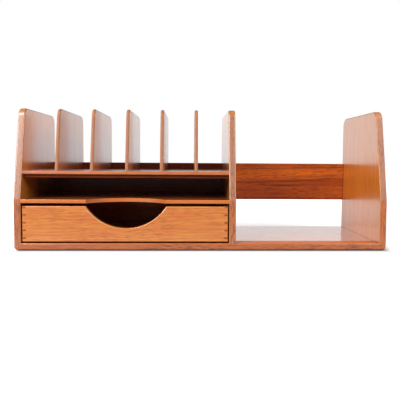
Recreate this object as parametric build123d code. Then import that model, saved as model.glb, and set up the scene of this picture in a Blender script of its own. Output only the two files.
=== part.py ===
from build123d import *
import math
import os

# Envelope sorter with a drawer, in solid teak.
# Millimetres. Z is up, the front faces -Y. The origin is the middle of the underside.

# Case
WIDTH = 760.0                 # over the two sides
DEPTH = 260.0                 # front to back of the sides
HEIGHT = 289.0                # underside to the tops of the uprights
SIDE_THICKNESS = 14.0
BASE_THICKNESS = 14.0
PARTITION_THICKNESS = 14.0
DRAWER_BAY_WIDTH = 420.0      # left side to partition
DRAWER_BAY_HEIGHT = 81.0      # base board to lower shelf
TRAY_HEIGHT = 50.0            # lower shelf to upper shelf
FRONT_LEAN = 39.0             # how far the front edges lean back between the lower shelf and the top
TOP_CORNER_RADIUS = 20.0      # front and back top corners of every upright
FOOT_CORNER_RADIUS = 7.0      # lower outer corners of the case
CASE_ARRIS = 2.5              # rounded edges of the sides, partition and base

# Shelves
LOWER_SHELF_THICKNESS = 8.0
LOWER_SHELF_SETBACK = 0.5     # front edge behind the front of the case
UPPER_SHELF_THICKNESS = 7.0
UPPER_SHELF_SETBACK = 2.5     # front edge behind the leaning front of the sides
SHELF_ARRIS = 1.5
HOUSING_DEPTH = 4.0           # grooves in sides, partition and base that hold the boards
HOUSING_STOP = 12.0           # the grooves stop this far behind the front, so they stay hidden
STRIP_HEIGHT = 6.5            # stiffening strip under the front of the upper shelf
STRIP_THICKNESS = 9.0
STRIP_SETBACK = 7.0

# Dividers
DIVIDER_COUNT = 5
DIVIDER_THICKNESS = 7.0
DIVIDER_ARRIS = 2.5
DIVIDER_GROOVE = 2.5          # depth of the grooves in the upper shelf

# Back rail
RAIL_THICKNESS = 11.0
RAIL_HEIGHT = 91.5
RAIL_ABOVE_BASE = 70.0        # open gap between base board and rail
RAIL_ARRIS = 1.0

# Loose joint pieces of the case
DOWEL_DIAMETER = 6.0
DOWEL_IN_SIDE = 9.0
DOWEL_IN_RAIL = 15.0
DOWEL_SPACING = 56.0          # between the two dowels at one end of the rail
DOWEL_CLEARANCE = 0.1         # on the diameter
SPLINE_THICKNESS = 3.0
SPLINE_WIDTH = 10.0           # across the mitre
SPLINE_STOP = 15.0            # from the front and back edges
SPLINE_CLEARANCE = 0.1
SPLINE_SEAT = 0.6             # place along the mitre, from the outer corner to the inner one

# Drawer
DRAWER_HEIGHT = 72.0
DRAWER_RECESS = 2.0           # front of the drawer behind the front of the case
DRAWER_SIDE_CLEARANCE = 2.5   # each side
DRAWER_BACK_CLEARANCE = 0.5   # to the rail, which stops the drawer
RUNNING_CLEARANCE = 0.2       # drawer above its runners
RUNNER_HEIGHT = 3.0
RUNNER_WIDTH = 14.0
RUNNER_STOP = 12.0            # from the front and the back of the case
DRAWER_FRONT_THICKNESS = 10.0
DRAWER_SIDE_THICKNESS = 7.0
DRAWER_BACK_THICKNESS = 7.0
DRAWER_BOTTOM_THICKNESS = 4.0
DRAWER_BOTTOM_RISE = 10.0     # underside of the bottom above the lower edge of the drawer
BOTTOM_GROOVE = 3.5           # depth of the grooves for the bottom
BOTTOM_CLEARANCE = 0.2
DRAWER_ARRIS = 1.5
DRAWER_EDGE_ARRIS = 1.0       # tops of the drawer sides and back

# Dovetails: narrow pins on the drawer sides, tails on front and back
PIN_COUNT = 5
PIN_TOP_DROP = 1.9            # middle of the top pin below the top edge
PIN_FOOT_RISE = 7.4           # middle of the lowest pin above the lower edge
PIN_TIP_HEIGHT = 2.4          # at the end of the tail board
PIN_ROOT_HEIGHT = 4.0         # towards the inside of the drawer

# Finger scoops, cut with one template
SCOOP_RADIUS = 97.0
DRAWER_SCOOP_DEPTH = 45.0     # into the drawer front, from its top edge
SHELF_SCOOP_DEPTH = 42.0      # into the lower shelf, from its front edge

# Places that follow from the sizes above
LEFT = -WIDTH / 2
RIGHT = WIDTH / 2
FRONT = -DEPTH / 2
BACK = DEPTH / 2
BAY_LEFT = LEFT + SIDE_THICKNESS
BAY_RIGHT = BAY_LEFT + DRAWER_BAY_WIDTH
BAY_MIDDLE = (BAY_LEFT + BAY_RIGHT) / 2
BOOK_LEFT = BAY_RIGHT + PARTITION_THICKNESS
BOOK_RIGHT = RIGHT - SIDE_THICKNESS
LOWER_SHELF_Z = BASE_THICKNESS + DRAWER_BAY_HEIGHT
TRAY_FLOOR_Z = LOWER_SHELF_Z + LOWER_SHELF_THICKNESS
UPPER_SHELF_Z = TRAY_FLOOR_Z + TRAY_HEIGHT
SLOT_FLOOR_Z = UPPER_SHELF_Z + UPPER_SHELF_THICKNESS
RAIL_FRONT = BACK - RAIL_THICKNESS
RAIL_Z = BASE_THICKNESS + RAIL_ABOVE_BASE
RAIL_TOP = RAIL_Z + RAIL_HEIGHT
SLOT_WIDTH = (DRAWER_BAY_WIDTH - DIVIDER_COUNT * DIVIDER_THICKNESS) / (DIVIDER_COUNT + 1)
DRAWER_LEFT = BAY_LEFT + DRAWER_SIDE_CLEARANCE
DRAWER_RIGHT = BAY_RIGHT - DRAWER_SIDE_CLEARANCE
DRAWER_FRONT = FRONT + DRAWER_RECESS
DRAWER_BACK = RAIL_FRONT - DRAWER_BACK_CLEARANCE
DRAWER_FOOT = BASE_THICKNESS + RUNNER_HEIGHT + RUNNING_CLEARANCE
DRAWER_TOP = DRAWER_FOOT + DRAWER_HEIGHT
DRAWER_INNER_FRONT = DRAWER_FRONT + DRAWER_FRONT_THICKNESS
DRAWER_INNER_BACK = DRAWER_BACK - DRAWER_BACK_THICKNESS
BOTTOM_Z = DRAWER_FOOT + DRAWER_BOTTOM_RISE
PROUD = 1.0                   # how far a cutting shape passes the face that it cuts
TINY = 0.01


def block(x0, x1, y0, y1, z0, z1):
    """A rectangular block between two corners."""
    middle = Pos((x0 + x1) / 2, (y0 + y1) / 2, (z0 + z1) / 2)
    return middle * Box(x1 - x0, y1 - y0, z1 - z0)


def across(points, y0, y1):
    """A prism with an outline of (x, z) points, from y0 back to y1."""
    outline = make_face(Polyline(*points, close=True))
    return Pos(0, y1, 0) * extrude(Plane.XZ * outline, amount=y1 - y0)


def along(sketch, x0, x1):
    """A prism with an outline drawn in (y, z), from x0 to x1."""
    return Pos(x0, 0, 0) * extrude(Plane.YZ * sketch, amount=x1 - x0)


def within(radius, wall):
    """An edge radius, kept to less than half of its wall."""
    return min(radius, 0.4 * wall)


def front_at(z):
    """Y of the case's front edge at a height: upright below the tray floor, leaning above it."""
    above = max(0.0, z - TRAY_FLOOR_Z)
    return FRONT + FRONT_LEAN * above / (HEIGHT - TRAY_FLOOR_Z)


def upright_outline(foot, setback):
    """Side view of an upright board that stands from foot to the full height."""
    points = [(front_at(foot) + setback, foot)]
    if foot < TRAY_FLOOR_Z:
        points.append((FRONT + setback, TRAY_FLOOR_Z))
    points += [(FRONT + FRONT_LEAN + setback, HEIGHT), (BACK, HEIGHT), (BACK, foot)]
    outline = make_face(Polyline(*points, close=True))
    return fillet(outline.vertices().group_by(Axis.Y)[-1], TOP_CORNER_RADIUS)


def soften_rim(board, foot, radius):
    """Round both rims of an upright board, but not its foot."""
    rims = [edge for face in board.faces().filter_by(Axis.X) for edge in face.edges()]
    return fillet([edge for edge in rims if edge.center().Z > foot + TINY], radius)


def upright(x, thickness, foot, setback, arris):
    board = along(upright_outline(foot, setback), x, x + thickness)
    return soften_rim(board, foot, within(arris, thickness))


# ---- Loose pieces that other boards are cut for ----

def spline_box(clearance):
    """The tongue across the left mitre or, with a clearance, the slot that holds it."""
    seat = Pos(LEFT + SPLINE_SEAT * SIDE_THICKNESS, 0, SPLINE_SEAT * BASE_THICKNESS)
    tilt = math.degrees(math.atan2(BASE_THICKNESS, SIDE_THICKNESS))
    length = DEPTH - 2 * SPLINE_STOP + clearance
    tongue = Box(SPLINE_THICKNESS + clearance, length, SPLINE_WIDTH + clearance)
    return seat * Rot(0, -tilt, 0) * tongue


def dowel_rods(clearance):
    """The two dowels at the left end of the rail or, with a clearance, their holes."""
    length = DOWEL_IN_SIDE + DOWEL_IN_RAIL + clearance
    rod = Rot(0, 90, 0) * Cylinder((DOWEL_DIAMETER + clearance) / 2, length)
    middle_x = BAY_LEFT + (DOWEL_IN_RAIL - DOWEL_IN_SIDE) / 2
    middle_y = (RAIL_FRONT + BACK) / 2
    middle_z = (RAIL_Z + RAIL_TOP) / 2
    heights = (middle_z - DOWEL_SPACING / 2, middle_z + DOWEL_SPACING / 2)
    return [Pos(middle_x, middle_y, z) * rod for z in heights]


def rail_space():
    """The straight-edged space that the rail takes up."""
    return block(BAY_LEFT, BOOK_RIGHT, RAIL_FRONT, BACK, RAIL_Z, RAIL_TOP)


def both_ends(solids):
    """Solids at the left end together with their mirror images at the right end."""
    return list(solids) + [mirror(solid, about=Plane.YZ) for solid in solids]


def cut(board, tools):
    for tool in tools:
        board = board - tool
    return board


# ---- Case ----

def make_end_side():
    """The left side: leaning front, rounded rims, foot mitred to the base board."""
    board = along(upright_outline(0.0, 0.0), LEFT, BAY_LEFT)
    lowest = board.edges().filter_by(Axis.Y).group_by(Axis.Z)[0]
    board = fillet(lowest.sort_by(Axis.X)[0], FOOT_CORNER_RADIUS)
    board = soften_rim(board, FOOT_CORNER_RADIUS, within(CASE_ARRIS, SIDE_THICKNESS))
    below_mitre = [(LEFT - SIDE_THICKNESS, -BASE_THICKNESS), (BAY_LEFT, BASE_THICKNESS),
                   (BAY_LEFT, -BASE_THICKNESS)]
    board = board - across(below_mitre, FRONT - PROUD, BACK + PROUD)
    return cut(board, [spline_box(SPLINE_CLEARANCE)] + dowel_rods(DOWEL_CLEARANCE))


def make_base():
    """Full-width board with rounded lower corners and a stopped housing for the partition."""
    board = block(LEFT, RIGHT, FRONT, BACK, 0, BASE_THICKNESS)
    lowest = board.edges().filter_by(Axis.Y).group_by(Axis.Z)[0]
    board = fillet(lowest, FOOT_CORNER_RADIUS)
    rims = [edge for face in board.faces().filter_by(Axis.Y) for edge in face.edges()]
    board = fillet(rims, within(CASE_ARRIS, BASE_THICKNESS))
    above_mitre = [(LEFT - SIDE_THICKNESS, -BASE_THICKNESS), (BAY_LEFT, BASE_THICKNESS),
                   (BAY_LEFT, BASE_THICKNESS + PROUD), (LEFT - SIDE_THICKNESS, BASE_THICKNESS + PROUD)]
    left_corner = [across(above_mitre, FRONT - PROUD, BACK + PROUD), spline_box(SPLINE_CLEARANCE)]
    housing = block(BAY_RIGHT, BOOK_LEFT, FRONT + HOUSING_STOP, BACK + PROUD,
                    BASE_THICKNESS - HOUSING_DEPTH, BASE_THICKNESS + PROUD)
    return cut(board, both_ends(left_corner) + [housing])


def shelf_housings(x0, x1):
    """Stopped grooves for both shelves, in one face of an upright board."""
    lower = block(x0, x1, FRONT + HOUSING_STOP, RAIL_FRONT, LOWER_SHELF_Z, TRAY_FLOOR_Z)
    stop = front_at(UPPER_SHELF_Z) + UPPER_SHELF_SETBACK + HOUSING_STOP
    upper = block(x0, x1, stop, RAIL_FRONT, UPPER_SHELF_Z, SLOT_FLOOR_Z)
    return [lower, upper]


def make_partition(base):
    """Upright board between drawer bay and book bay, notched for the rail."""
    board = upright(BAY_RIGHT, PARTITION_THICKNESS, BASE_THICKNESS - HOUSING_DEPTH, 0.0, CASE_ARRIS)
    return cut(board, [rail_space(), base] + shelf_housings(BAY_RIGHT, BAY_RIGHT + HOUSING_DEPTH))


def make_rail():
    board = rail_space()
    board = fillet(board.edges().filter_by(Axis.X), within(RAIL_ARRIS, RAIL_THICKNESS))
    return cut(board, both_ends(dowel_rods(DOWEL_CLEARANCE)))


# ---- Shelves ----

def make_lower_shelf(side, partition):
    """Shelf over the drawer, with a finger scoop in its front edge."""
    front = FRONT + LOWER_SHELF_SETBACK
    board = block(BAY_LEFT - HOUSING_DEPTH, BAY_RIGHT + HOUSING_DEPTH, front, RAIL_FRONT,
                  LOWER_SHELF_Z, TRAY_FLOOR_Z)
    scoop = Cylinder(SCOOP_RADIUS, LOWER_SHELF_THICKNESS + 2 * PROUD)
    scoop_y = front + SHELF_SCOOP_DEPTH - SCOOP_RADIUS
    board = board - Pos(BAY_MIDDLE, scoop_y, (LOWER_SHELF_Z + TRAY_FLOOR_Z) / 2) * scoop
    rims = [edge for face in board.faces().filter_by(Axis.Z) for edge in face.edges()]
    fronts = [edge for edge in rims if edge.center().Y < front + SHELF_SCOOP_DEPTH]
    fronts = [edge for edge in fronts if abs(edge.center().X - BAY_MIDDLE) < DRAWER_BAY_WIDTH / 2]
    board = fillet(fronts, within(SHELF_ARRIS, LOWER_SHELF_THICKNESS))
    return cut(board, [side, partition])


def make_upper_shelf(side, partition):
    """Shelf that carries the dividers, its front edge leaning like the sides."""
    low = front_at(UPPER_SHELF_Z) + UPPER_SHELF_SETBACK
    high = front_at(SLOT_FLOOR_Z) + UPPER_SHELF_SETBACK
    outline = make_face(Polyline((low, UPPER_SHELF_Z), (high, SLOT_FLOOR_Z), (RAIL_FRONT, SLOT_FLOOR_Z),
                                 (RAIL_FRONT, UPPER_SHELF_Z), close=True))
    board = along(outline, BAY_LEFT - HOUSING_DEPTH, BAY_RIGHT + HOUSING_DEPTH)
    fronts = [edge for edge in board.edges().filter_by(Axis.X) if edge.center().Y < high + TINY]
    board = fillet(fronts, within(SHELF_ARRIS, UPPER_SHELF_THICKNESS))
    grooves = []
    for place in range(DIVIDER_COUNT):
        x = divider_x(place)
        grooves.append(block(x, x + DIVIDER_THICKNESS, high + HOUSING_STOP, RAIL_FRONT + PROUD,
                             SLOT_FLOOR_Z - DIVIDER_GROOVE, SLOT_FLOOR_Z + PROUD))
    return cut(board, [side, partition] + grooves)


def make_front_strip():
    front = front_at(UPPER_SHELF_Z) + UPPER_SHELF_SETBACK + STRIP_SETBACK
    return block(BAY_LEFT, BAY_RIGHT, front, front + STRIP_THICKNESS,
                 UPPER_SHELF_Z - STRIP_HEIGHT, UPPER_SHELF_Z)


def divider_x(place):
    """Left face of a divider, counted from the left."""
    return BAY_LEFT + SLOT_WIDTH + place * (SLOT_WIDTH + DIVIDER_THICKNESS)


def make_divider(place, shelf):
    """Thin upright in its groove, notched over the rail at the back."""
    foot = SLOT_FLOOR_Z - DIVIDER_GROOVE
    board = upright(divider_x(place), DIVIDER_THICKNESS, foot, UPPER_SHELF_SETBACK, DIVIDER_ARRIS)
    return cut(board, [rail_space(), shelf])


# ---- Drawer ----

def make_runner():
    """Strip on the base board, under the left side of the drawer."""
    return block(BAY_LEFT, BAY_LEFT + RUNNER_WIDTH, FRONT + RUNNER_STOP, BACK - RUNNER_STOP,
                 BASE_THICKNESS, BASE_THICKNESS + RUNNER_HEIGHT)


def pin_prisms(y0, y1):
    """All pins of the two corners at one end of the drawer, through a board from y0 to y1."""
    flare = (PIN_ROOT_HEIGHT - PIN_TIP_HEIGHT) / DRAWER_SIDE_THICKNESS
    tip = (PIN_TIP_HEIGHT - flare * PROUD) / 2
    root = PIN_ROOT_HEIGHT / 2
    pitch = (DRAWER_HEIGHT - PIN_TOP_DROP - PIN_FOOT_RISE) / (PIN_COUNT - 1)
    prisms = []
    for place in range(PIN_COUNT):
        z = DRAWER_FOOT + PIN_FOOT_RISE + place * pitch
        # the top pin runs out through the top edge
        over = DRAWER_HEIGHT if place == PIN_COUNT - 1 else 0.0
        for outer, inward in ((DRAWER_LEFT, 1), (DRAWER_RIGHT, -1)):
            x0 = outer - inward * PROUD
            x1 = outer + inward * DRAWER_SIDE_THICKNESS
            corners = [(x0, z - tip), (x1, z - root), (x1, z + root + over), (x0, z + tip + over)]
            prisms.append(across(corners, y0, y1))
    return prisms


def drawer_box(y0, y1):
    return block(DRAWER_LEFT, DRAWER_RIGHT, y0, y1, DRAWER_FOOT, DRAWER_TOP)


def bottom_space(clearance):
    """The drawer bottom or, with a clearance, the grooves that hold it."""
    reach = BOTTOM_GROOVE - BOTTOM_CLEARANCE + clearance
    return block(DRAWER_LEFT + DRAWER_SIDE_THICKNESS - reach, DRAWER_RIGHT - DRAWER_SIDE_THICKNESS + reach,
                 DRAWER_INNER_FRONT - reach, DRAWER_INNER_BACK + reach,
                 BOTTOM_Z, BOTTOM_Z + DRAWER_BOTTOM_THICKNESS)


def front_blank():
    """Drawer front with its scoop and rounded edges, before the tails are cut."""
    board = drawer_box(DRAWER_FRONT, DRAWER_INNER_FRONT)
    scoop = Rot(90, 0, 0) * Cylinder(SCOOP_RADIUS, DRAWER_FRONT_THICKNESS + 2 * PROUD)
    scoop_z = DRAWER_TOP - DRAWER_SCOOP_DEPTH + SCOOP_RADIUS
    board = board - Pos(BAY_MIDDLE, (DRAWER_FRONT + DRAWER_INNER_FRONT) / 2, scoop_z) * scoop
    front_face = board.faces().filter_by(Axis.Y).sort_by(Axis.Y)[0]
    return fillet(front_face.edges(), within(DRAWER_ARRIS, DRAWER_FRONT_THICKNESS))


def back_blank():
    board = drawer_box(DRAWER_INNER_BACK, DRAWER_BACK)
    tops = board.edges().filter_by(Axis.X).group_by(Axis.Z)[-1]
    return fillet(tops, within(DRAWER_EDGE_ARRIS, DRAWER_BACK_THICKNESS))


def make_drawer_side(outer, inner, front_pins, back_pins):
    """A drawer side with its pins; outer and inner are the two faces of the board."""
    x0, x1 = min(outer, inner), max(outer, inner)
    board = block(x0, x1, DRAWER_INNER_FRONT, DRAWER_INNER_BACK, DRAWER_FOOT, DRAWER_TOP)
    tops = board.edges().filter_by(Axis.Y).group_by(Axis.Z)[-1]
    board = fillet(tops, within(DRAWER_EDGE_ARRIS, DRAWER_SIDE_THICKNESS))
    board = board - bottom_space(BOTTOM_CLEARANCE)
    for pin in front_pins + back_pins:
        if x0 - TINY < pin.center().X < x1 + TINY:
            board = board + pin
    return board


def make_drawer():
    blank_front = front_blank()
    blank_back = back_blank()
    front_prisms = pin_prisms(DRAWER_FRONT, DRAWER_INNER_FRONT)
    back_prisms = pin_prisms(DRAWER_INNER_BACK, DRAWER_BACK)
    front_pins = [prism & blank_front for prism in front_prisms]
    back_pins = [prism & blank_back for prism in back_prisms]
    groove = bottom_space(BOTTOM_CLEARANCE)
    return {
        "drawer_front": cut(blank_front, front_prisms + [groove]),
        "drawer_back": cut(blank_back, back_prisms + [groove]),
        "drawer_left_side": make_drawer_side(
            DRAWER_LEFT, DRAWER_LEFT + DRAWER_SIDE_THICKNESS, front_pins, back_pins),
        "drawer_right_side": make_drawer_side(
            DRAWER_RIGHT, DRAWER_RIGHT - DRAWER_SIDE_THICKNESS, front_pins, back_pins),
        "drawer_bottom": bottom_space(0.0),
    }


# ---- Everything ----

def make_parts():
    end_side = make_end_side()
    base = make_base()
    left_side = cut(end_side, shelf_housings(BAY_LEFT - HOUSING_DEPTH, BAY_LEFT))
    partition = make_partition(base)
    upper_shelf = make_upper_shelf(left_side, partition)
    runner = make_runner()
    parts = {
        "base_board": base,
        "left_side": left_side,
        "right_side": mirror(end_side, about=Plane.YZ),
        "middle_partition": partition,
        "back_rail": make_rail(),
        "lower_shelf": make_lower_shelf(left_side, partition),
        "upper_shelf": upper_shelf,
        "upper_shelf_front_strip": make_front_strip(),
        "drawer_runner_left": runner,
        "drawer_runner_right": Pos(DRAWER_BAY_WIDTH - RUNNER_WIDTH, 0, 0) * runner,
        "rail_dowels": Compound(children=both_ends(dowel_rods(0.0))),
        "mitre_splines": Compound(children=both_ends([spline_box(0.0)])),
    }
    for place in range(DIVIDER_COUNT):
        parts[f"letter_divider_{place + 1}"] = make_divider(place, upper_shelf)
    parts.update(make_drawer())
    return parts


os.makedirs("parts", exist_ok=True)
for name, part in make_parts().items():
    export_step(part, f"parts/{name}.step")
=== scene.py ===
"""An envelope sorter with a drawer, in oiled teak, dressed and lit for a plain studio picture.

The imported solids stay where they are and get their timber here. Only the dividers are made again, as one
row with a number on each board, so that each has a figure of its own.
Metres, with Z up and the front facing -Y.
"""

import math

import bmesh
import bpy
from bpy.props import FloatProperty, FloatVectorProperty, IntProperty, PointerProperty
from mathutils import Matrix, Vector


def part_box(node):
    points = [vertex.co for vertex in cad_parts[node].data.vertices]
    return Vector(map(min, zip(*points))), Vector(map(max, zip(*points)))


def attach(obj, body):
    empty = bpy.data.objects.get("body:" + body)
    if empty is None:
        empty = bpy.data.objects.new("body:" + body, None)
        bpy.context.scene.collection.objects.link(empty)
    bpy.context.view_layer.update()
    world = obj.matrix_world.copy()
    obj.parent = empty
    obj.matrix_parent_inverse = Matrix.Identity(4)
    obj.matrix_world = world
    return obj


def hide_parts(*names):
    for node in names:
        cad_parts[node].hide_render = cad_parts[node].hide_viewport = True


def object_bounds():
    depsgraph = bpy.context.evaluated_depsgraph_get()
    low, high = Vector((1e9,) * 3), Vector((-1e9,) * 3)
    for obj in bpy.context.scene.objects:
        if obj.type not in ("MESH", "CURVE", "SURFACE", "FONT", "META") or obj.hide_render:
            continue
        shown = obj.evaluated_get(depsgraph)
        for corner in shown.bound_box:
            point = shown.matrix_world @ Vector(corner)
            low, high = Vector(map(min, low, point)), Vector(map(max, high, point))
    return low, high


bl_info = {
    "name": "Envelope sorter with drawer",
    "version": (1, 0, 0),
    "blender": (4, 5, 0),
    "location": "3D View > Sidebar > Sorter",
    "description": "Timber, dividers, drawer and studio of an envelope sorter",
    "category": "Object",
}

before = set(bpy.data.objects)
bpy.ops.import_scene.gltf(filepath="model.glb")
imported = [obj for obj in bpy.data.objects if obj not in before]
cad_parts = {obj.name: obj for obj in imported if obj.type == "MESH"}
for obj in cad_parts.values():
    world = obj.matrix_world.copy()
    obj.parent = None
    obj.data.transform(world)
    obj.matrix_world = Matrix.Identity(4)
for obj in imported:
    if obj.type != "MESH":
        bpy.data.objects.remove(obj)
solid_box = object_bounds()

CASE = "case"

# Where the boards meet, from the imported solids.
LEFT_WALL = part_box("left_side")[1].x
PARTITION_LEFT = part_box("middle_partition")[0].x
PARTITION_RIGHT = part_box("middle_partition")[1].x
RIGHT_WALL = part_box("right_side")[0].x
BASE_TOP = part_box("base_board")[1].z
SHELF_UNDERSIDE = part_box("lower_shelf")[0].z


# ---- Node helpers ----

def put(tree, kind, inputs=None, **settings):
    """Add a node, set its settings, and link or fill its inputs by name or number."""
    node = tree.nodes.new(kind)
    for name, value in settings.items():
        setattr(node, name, value)
    for key, value in (inputs or {}).items():
        if isinstance(value, bpy.types.NodeSocket):
            tree.links.new(value, node.inputs[key])
        else:
            node.inputs[key].default_value = value
    return node


def sum_up(tree, operation, *values):
    """The result of one arithmetic node."""
    return put(tree, "ShaderNodeMath", dict(enumerate(values)), operation=operation).outputs[0]


def spread(tree, value, low, high, to_low=0.0, to_high=1.0):
    """Stretch the part of a value between low and high over a new range."""
    node = put(tree, "ShaderNodeMapRange", {0: value, 1: low, 2: high, 3: to_low, 4: to_high})
    return node.outputs[0]


def blend(tree, factor, first, second, kind="MIX"):
    """One colour mixed into another."""
    return put(tree, "ShaderNodeMix", {0: factor, 6: first, 7: second}, data_type="RGBA",
               blend_type=kind).outputs[2]


def tinted(tree, colour, tint):
    """A colour multiplied by another."""
    return blend(tree, 1.0, colour, tint, "MULTIPLY")


def speckle(tree, place, stretch, detail, roughness=0.5):
    """Smooth noise, stretched by a different scale along each axis."""
    scaled = put(tree, "ShaderNodeVectorMath", {0: place, 1: stretch}, operation="MULTIPLY")
    noise = put(tree, "ShaderNodeTexNoise", {"Vector": scaled.outputs[0], "Scale": 1.0, "Detail": detail,
                                             "Roughness": roughness})
    return noise.outputs[0]


def line_noise(tree, distance, detail):
    """Noise along one distance only."""
    noise = put(tree, "ShaderNodeTexNoise", {"W": distance, "Scale": 1.0, "Detail": detail},
                noise_dimensions="1D")
    return noise.outputs[0]


def new_group(name, inputs, outputs):
    """An empty shader node group with named sockets, and its inner input and output nodes."""
    group = bpy.data.node_groups.new(name, "ShaderNodeTree")
    for label, kind, default in inputs:
        socket = group.interface.new_socket(label, in_out="INPUT", socket_type=kind)
        if default is not None:
            socket.default_value = default
    for label, kind in outputs:
        group.interface.new_socket(label, in_out="OUTPUT", socket_type=kind)
    return group, group.nodes.new("NodeGroupInput"), group.nodes.new("NodeGroupOutput")


FLOAT = "NodeSocketFloat"
COLOUR = "NodeSocketColor"
VECTOR = "NodeSocketVector"


# ---- Timber groups ----

# Noise of the figure: how often it changes in a metre, along and twice across the grain, and its detail.
FIGURE_NOISE = {
    "wander": ((2.2, 9.0, 9.0), 2.0),
    "cloud": ((3.0, 26.0, 26.0), 3.0),
    "fibres": ((22.0, 620.0, 620.0), 2.0),
    "dashes": ((11.0, 380.0, 380.0), 2.0),
    "breaks": ((6.0, 40.0, 40.0), 2.0),
    "patches": ((18.0, 240.0, 240.0), 2.0),
    "mottle": ((60.0, 460.0, 460.0), 3.0),
    "worn": ((7.0, 16.0, 16.0), 1.0),
}
PITH_Y = 0.31
PITH_Z = 0.17
LINES_IN_A_BAND = 4.5

# What a colour is multiplied by on end grain, in a dark line, and as painted shade on upturned faces and
# in the drawer bay.
END_GRAIN_TINT = (0.32, 0.22, 0.2, 1.0)
LINE_TINT = (0.16, 0.10, 0.08, 1.0)
UPTURNED_SHADE_TINT = (0.68, 0.80, 0.85, 1.0)
BAY_SHADE_TINT = (0.20, 0.16, 0.12, 1.0)

BAND_BLUR = 0.0006
BAND_DULL = 0.9
BAY_SETBACK = 0.004
BAY_MARGIN = 0.0006


def make_figure_group():
    """Growth bands, darker streaks and open pores of a board whose grain runs along X."""
    group, given, result = new_group(
        "timber figure",
        [("Place", VECTOR, None), ("Pale Colour", COLOUR, None), ("Deep Colour", COLOUR, None),
         ("Streak Colour", COLOUR, None), ("Band Width", FLOAT, 0.02), ("Wander", FLOAT, 0.02),
         ("Bands", FLOAT, 1.0), ("Dashes", FLOAT, 0.4), ("Streaks", FLOAT, 0.5),
         ("Flecks", FLOAT, 0.3), ("Pores", FLOAT, 0.5)],
        [("Colour", COLOUR), ("Pore Mask", FLOAT), ("Mottle", FLOAT), ("Height", FLOAT)])
    place = given.outputs["Place"]
    parts = put(group, "ShaderNodeSeparateXYZ", {0: place})
    wander = speckle(group, place, *FIGURE_NOISE["wander"])
    pith_y = sum_up(group, "ADD", parts.outputs[1], PITH_Y)
    pith_z = sum_up(group, "ADD", parts.outputs[2], PITH_Z)
    squares = sum_up(group, "ADD", sum_up(group, "MULTIPLY", pith_y, pith_y),
                     sum_up(group, "MULTIPLY", pith_z, pith_z))
    ring = sum_up(group, "MULTIPLY_ADD", wander, given.outputs["Wander"], sum_up(group, "SQRT", squares))
    ring = sum_up(group, "DIVIDE", ring, given.outputs["Band Width"])
    bands = line_noise(group, ring, 2.0)
    lines = line_noise(group, sum_up(group, "MULTIPLY", ring, LINES_IN_A_BAND), 2.0)
    cloud = speckle(group, place, *FIGURE_NOISE["cloud"])
    fibres = speckle(group, place, *FIGURE_NOISE["fibres"])
    tone = sum_up(group, "MULTIPLY_ADD", bands, 0.65, sum_up(group, "MULTIPLY", cloud, 0.35))
    tone = sum_up(group, "MULTIPLY", spread(group, tone, 0.34, 0.66), given.outputs["Bands"])
    dashes = spread(group, speckle(group, place, *FIGURE_NOISE["dashes"]), 0.40, 0.60)
    tone = put(group, "ShaderNodeMix", {0: given.outputs["Dashes"], 2: tone, 3: dashes}).outputs[0]
    colour = blend(group, tone, given.outputs["Pale Colour"], given.outputs["Deep Colour"])
    breaks = spread(group, speckle(group, place, *FIGURE_NOISE["breaks"]), 0.42, 0.62)
    streak = sum_up(group, "MULTIPLY", spread(group, lines, 0.52, 0.74), breaks)
    streak = sum_up(group, "MULTIPLY", streak, given.outputs["Streaks"])
    colour = blend(group, streak, colour, given.outputs["Streak Colour"])
    patches = spread(group, speckle(group, place, *FIGURE_NOISE["patches"]), 0.54, 0.68)
    fleck = sum_up(group, "MULTIPLY", patches, given.outputs["Flecks"])
    colour = blend(group, fleck, colour, given.outputs["Streak Colour"])
    pores = spread(group, fibres, 0.56, 0.74)
    dark = sum_up(group, "MULTIPLY", pores, given.outputs["Pores"])
    colour = blend(group, dark, colour, given.outputs["Streak Colour"])
    group.links.new(colour, result.inputs["Colour"])
    group.links.new(pores, result.inputs["Pore Mask"])
    mottle = spread(group, speckle(group, place, *FIGURE_NOISE["mottle"]), 0.48, 0.62)
    worn = spread(group, speckle(group, place, *FIGURE_NOISE["worn"]), 0.35, 0.60, 0.25, 1.0)
    group.links.new(sum_up(group, "MULTIPLY", mottle, worn), result.inputs["Mottle"])
    height = sum_up(group, "SUBTRACT", sum_up(group, "MULTIPLY", lines, 0.3), pores)
    group.links.new(height, result.inputs["Height"])
    return group


def make_end_grain_group():
    """Darkens the faces that the grain runs out of."""
    group, given, result = new_group(
        "end grain",
        [("Colour", COLOUR, None), ("Normal", VECTOR, None), ("Grain Axis", VECTOR, None),
         ("Depth", FLOAT, 0.5)],
        [("Colour", COLOUR), ("End", FLOAT)])
    facing = put(group, "ShaderNodeVectorMath",
                 {0: given.outputs["Normal"], 1: given.outputs["Grain Axis"]}, operation="DOT_PRODUCT")
    end = spread(group, sum_up(group, "ABSOLUTE", facing.outputs["Value"]), 0.6, 0.95)
    group.links.new(end, result.inputs["End"])
    end = sum_up(group, "MULTIPLY", end, given.outputs["Depth"])
    darker = tinted(group, given.outputs["Colour"], END_GRAIN_TINT)
    group.links.new(blend(group, end, given.outputs["Colour"], darker), result.inputs["Colour"])
    return group


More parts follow.
